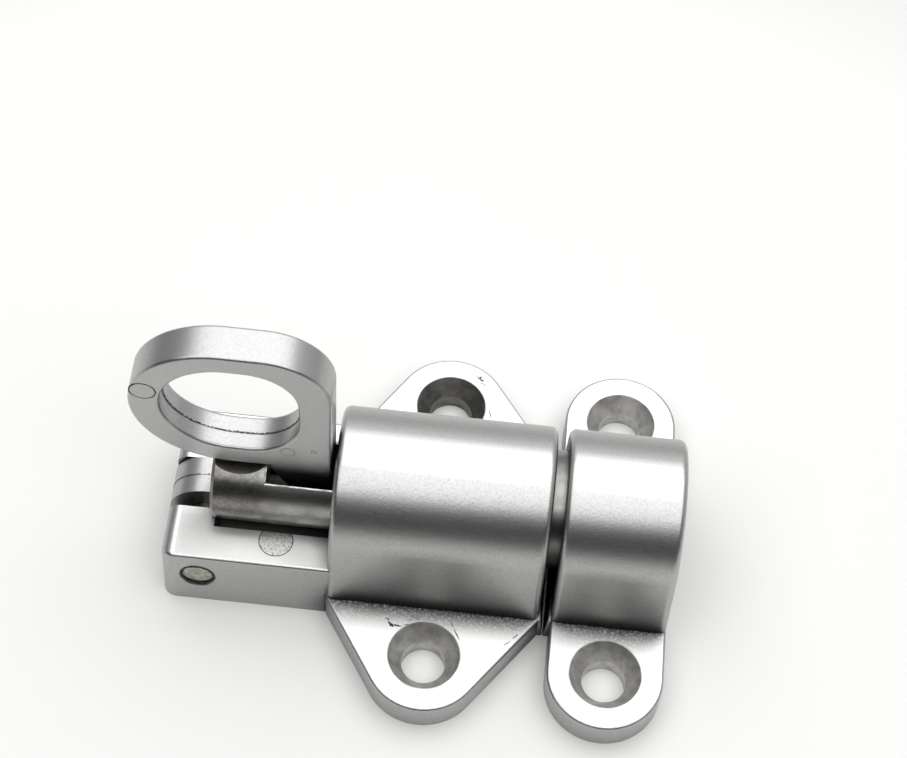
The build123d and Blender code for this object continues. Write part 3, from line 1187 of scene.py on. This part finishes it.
@dataclass
class SlidingBolt(SubAssembly):
    """Bolt: the burrs that the cutter left along two edges of its window, pale as a painted highlight."""
    axis_z_mm: float = 12.3
    tail_radius_mm: float = 5.6
    window_back_mm: float = -21.95
    window_front_mm: float = -10.4
    window_near_mm: float = 3.35
    rear_edge_end_mm: float = 1.4    # the burr on the rear edge stops this far from the crown's line
    burr_mm: float = 0.13
    burr_sides: int = 8
    straight_cuts: int = 36          # along the near burr
    round_segments: int = 160        # round the whole tail, of which the rear burr is a part
    ragged_mm: float = 0.025

    def dress(self) -> None:
        """Coats the bolt and builds its burrs."""
        self.coat(self.finishes.steel)
        self.near_burr()
        self.rear_burr()

    def edge_height(self) -> float:
        """Height of the window's near edge, in metres."""
        return (self.axis_z_mm + sqrt(self.tail_radius_mm ** 2 - self.window_near_mm ** 2)) * MM

    def near_burr(self) -> None:
        """Models the burr along the window's near edge."""
        length = (self.window_front_mm - self.window_back_mm) * MM
        middle = ((self.window_front_mm + self.window_back_mm) / 2 * MM, -self.window_near_mm * MM,
                  self.edge_height())
        clear_selection()
        bpy.ops.mesh.primitive_cylinder_add(vertices=self.burr_sides, radius=self.burr_mm * MM,
                                            depth=length, location=middle, rotation=(0, radians(90), 0))
        burr = begin("window_burr_highlight_near")
        pick(burr, "EDGE", lambda edge: edge.calc_length() > length / 2)
        bpy.ops.mesh.subdivide(number_cuts=self.straight_cuts)
        pick_all()
        bpy.ops.transform.vertex_random(offset=self.ragged_mm * MM, seed=3)
        self.keep(burr, self.finishes.bright)

    def rear_burr(self) -> None:
        """Models the burr up the window's rear edge, over the round of the tail."""
        centre = (self.window_back_mm * MM, 0.0, self.axis_z_mm * MM)
        clear_selection()
        bpy.ops.mesh.primitive_torus_add(major_radius=self.tail_radius_mm * MM,
                                         minor_radius=self.burr_mm * MM,
                                         major_segments=self.round_segments,
                                         minor_segments=self.burr_sides, location=centre,
                                         rotation=(0, radians(90), 0))
        burr = begin("window_burr_highlight_rear")
        pick_all()
        bpy.ops.mesh.bisect(plane_co=(0, 0, self.edge_height()), plane_no=(0, 0, 1), use_fill=True,
                            clear_inner=True)
        pick_all()
        bpy.ops.mesh.bisect(plane_co=(0, -self.rear_edge_end_mm * MM, 0), plane_no=(0, 1, 0), use_fill=True,
                            clear_outer=True)
        pick_all()
        bpy.ops.transform.vertex_random(offset=self.ragged_mm * MM, seed=5)
        self.keep(burr, self.finishes.bright)


@dataclass
class HingePin(SubAssembly):
    """Hinge pin, with the dark gap round each of its ends."""
    pin_x_mm: float = PIN_X_MM
    pin_z_mm: float = PIN_Z_MM
    foot_half_mm: float = 11.7       # half width of the two cheeks at the door
    top_half_mm: float = 10.9        # and at their top
    cheek_height_mm: float = CHEEK_HEIGHT_MM

    def dress(self) -> None:
        """Coats the pin and builds the rings round its ends."""
        self.coat(self.finishes.pin)
        draft = (self.foot_half_mm - self.top_half_mm) / self.cheek_height_mm
        half = (self.foot_half_mm - draft * self.pin_z_mm) * MM
        for way, name in ((-1, "near"), (1, "far")):
            centre = Vector((self.pin_x_mm * MM, way * half, self.pin_z_mm * MM))
            facing = Vector((0, way, draft)).normalized()
            self.keep(GapRing().build(f"pin_gap_{name}", centre, facing), self.finishes.groove)


@dataclass
class ReturnSpring(SubAssembly):
    """Return spring: a coil made from a merged copy of the solid, shown in its place."""
    travel_mm: float = 10.3
    merge_mm: float = 0.002          # corners of loose triangles nearer than this become one

    def dress(self) -> None:
        """Builds the coil from a merged copy of the solid and hides the solid."""
        solid = frame["nodes"][self.node]
        coil = bpy.data.objects.new("return_spring_coil", solid.data.copy())
        bpy.context.scene.collection.objects.link(coil)
        select_only(coil)
        bpy.ops.object.mode_set(mode="EDIT")
        pick_all()
        bpy.ops.mesh.remove_doubles(threshold=self.merge_mm * MM)
        self.keep(coil, self.finishes.wire)
        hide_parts(self.node)
        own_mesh(coil)


@dataclass
class Studio:
    """Camera, paper floor, soft box with its fill sheet, and the room, lighter beyond the object."""
    target_mm: tuple[float, float, float] = (-0.163, 25.683, 0.0)
    back: tuple[float, float, float] = (0.01007, -0.53660, 0.84378)
    distance_mm: float = 301.17
    azimuth_deg: float = 1.075
    roll_deg: float = 5.060
    lens_mm: float = 86.53
    sensor_mm: float = 36.0
    clip_mm: float = 10.0            # nothing nearer than this is drawn
    floor_half_mm: float = 4000.0
    floor_cuts: int = 3
    box_height_mm: float = 600.0
    box_near_deg: float = 38.0       # from straight up towards the viewer
    box_far_deg: float = 43.0        # from straight up away from the viewer
    sheet_far_deg: float = 68.0      # where the weaker sheet beyond the box ends
    box_width_mm: float = 1100.0
    box_radiance: float = 2.15       # white is 1, so a mid-grey metal under it reflects white
    sheet_radiance: float = 0.8
    room_near: str = "#2c2c2c"
    room_far: str = "#dadada"
    window_toward: tuple[float, float, float] = (0.35, 1.0, 0.0)
    window_span: Span = (-0.35, 0.75)    # how far round toward it the room starts to lighten, and ends

    def build(self) -> None:
        """Makes the whole studio."""
        self.camera()
        self.floor()
        self.soft_box()
        self.room()
        bpy.context.scene.view_settings.view_transform = "Standard"

    def camera(self) -> None:
        """Places the camera where the photograph was taken from."""
        data = bpy.data.cameras.new("camera")
        data.lens = self.lens_mm
        data.sensor_width = self.sensor_mm
        data.clip_start = self.clip_mm * MM
        camera = bpy.data.objects.new("camera", data)
        bpy.context.scene.collection.objects.link(camera)
        back = Vector(self.back).normalized()
        level = Vector((cos(radians(self.azimuth_deg)), sin(radians(self.azimuth_deg)), 0.0))
        rise = back.cross(level).normalized()
        level = rise.cross(back)
        roll = radians(self.roll_deg)
        right = level * cos(roll) + rise * sin(roll)
        up = rise * cos(roll) - level * sin(roll)
        turn = Matrix((right, up, back)).transposed().to_4x4()
        place = Vector(self.target_mm) * MM + back * self.distance_mm * MM
        camera.matrix_world = Matrix.Translation(place) @ turn
        bpy.context.scene.camera = camera

    def floor(self) -> None:
        """Lays the paper that the door bolt lies on."""
        clear_selection()
        bpy.ops.mesh.primitive_plane_add(size=2 * self.floor_half_mm * MM)
        paper = begin("floor")
        bpy.ops.mesh.subdivide(number_cuts=self.floor_cuts)
        clear_selection()
        paper.data.materials.append(StudioPaper().make("white_studio_paper"))

    def soft_box(self) -> None:
        """Hangs the large soft box over the object, and a weaker sheet from its far edge on."""
        self.hang("soft_box", -self.box_near_deg, self.box_far_deg, self.box_radiance)
        self.hang("fill_sheet", self.box_far_deg, self.sheet_far_deg, self.sheet_radiance)

    def hang(self, name: str, first_deg: float, last_deg: float, radiance: float) -> None:
        """Hangs one level light over the object.

        Args:
            name: Name of the light.
            first_deg: Where it begins, in degrees from straight up, minus towards the viewer.
            last_deg: Where it ends, the same way.
            radiance: How bright it looks, where white is 1.
        """
        height = self.box_height_mm * MM
        near, far = (height * tan(radians(angle)) for angle in (first_deg, last_deg))
        data = bpy.data.lights.new(name, "AREA")
        data.shape = "RECTANGLE"
        data.size = self.box_width_mm * MM
        data.size_y = far - near
        data.energy = radiance * pi * data.size * data.size_y
        lamp = bpy.data.objects.new(name, data)
        lamp.location = (0.0, (near + far) / 2, height)
        bpy.context.scene.collection.objects.link(lamp)

    def room(self) -> None:
        """Makes the room: lighter beyond the object, dim behind the viewer."""
        world = bpy.data.worlds.new("studio")
        world.use_nodes = True
        bpy.context.scene.world = world
        tree = world.node_tree
        tree.nodes.clear()
        toward = add_node(tree, "ShaderNodeTexCoord").outputs["Generated"]
        beyond = add_node(tree, "ShaderNodeVectorMath", {"operation": "DOT_PRODUCT", 1: self.window_toward},
                          {0: toward}).outputs["Value"]
        dim, light = self.window_span
        share = add_node(tree, "ShaderNodeMapRange", {"From Min": dim, "From Max": light},
                         {"Value": beyond}).outputs["Result"]
        colour = colour_layers(tree, self.room_near, (share, self.room_far))
        glow = add_node(tree, "ShaderNodeBackground", {"Strength": 1.0}, {"Color": colour}).outputs[0]
        add_node(tree, "ShaderNodeOutputWorld", None, {"Surface": glow})


def main() -> None:
    """Builds the sub-assemblies in order, then the studio, and reports each."""
    logging.basicConfig(level=logging.INFO, format="%(message)s")
    finishes = make_finishes()
    spacing = frame["record"]["mounts"][0]["dims"]["spacing_y_mm"]
    keeper_low, keeper_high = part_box("keeper")
    keeper_x = (keeper_low.x + keeper_high.x) / 2 / MM
    parts = [
        Housing("housing", Body.BASE, Slot.CASTING, finishes, hole_y_mm=spacing / 2,
                foot_x_mm=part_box("housing")[1].x / MM, far_hole_darker=True,
                sole_marks_mm=((-22.0, 7.6), (-22.0, -7.6), (5.0, 7.0), (5.0, -7.0)),
                tears=EAR_TEARS, scuffs=EAR_SCUFFS),
        Casting("keeper", Body.BASE, Slot.CASTING, finishes, hole_x_mm=keeper_x,
                hole_y_mm=spacing / 2, sole_marks_mm=((keeper_x, 6.5), (keeper_x, -6.5)),
                foot_x_mm=keeper_low.x / MM, foot_way=-1),
        SlidingBolt("bolt", Body.BOLT, Slot.TURNED, finishes),
        ReturnSpring("spring", Body.BASE, Slot.WIRE, finishes),
        PullRing("pull_ring", Body.LEVER, Slot.CASTING, finishes),
        HingePin("hinge_pin", Body.BASE, Slot.PIN, finishes),
    ]
    for part in parts:
        part.dress()
        part.report()
    Studio().build()


if __name__ == "__main__":
    main()
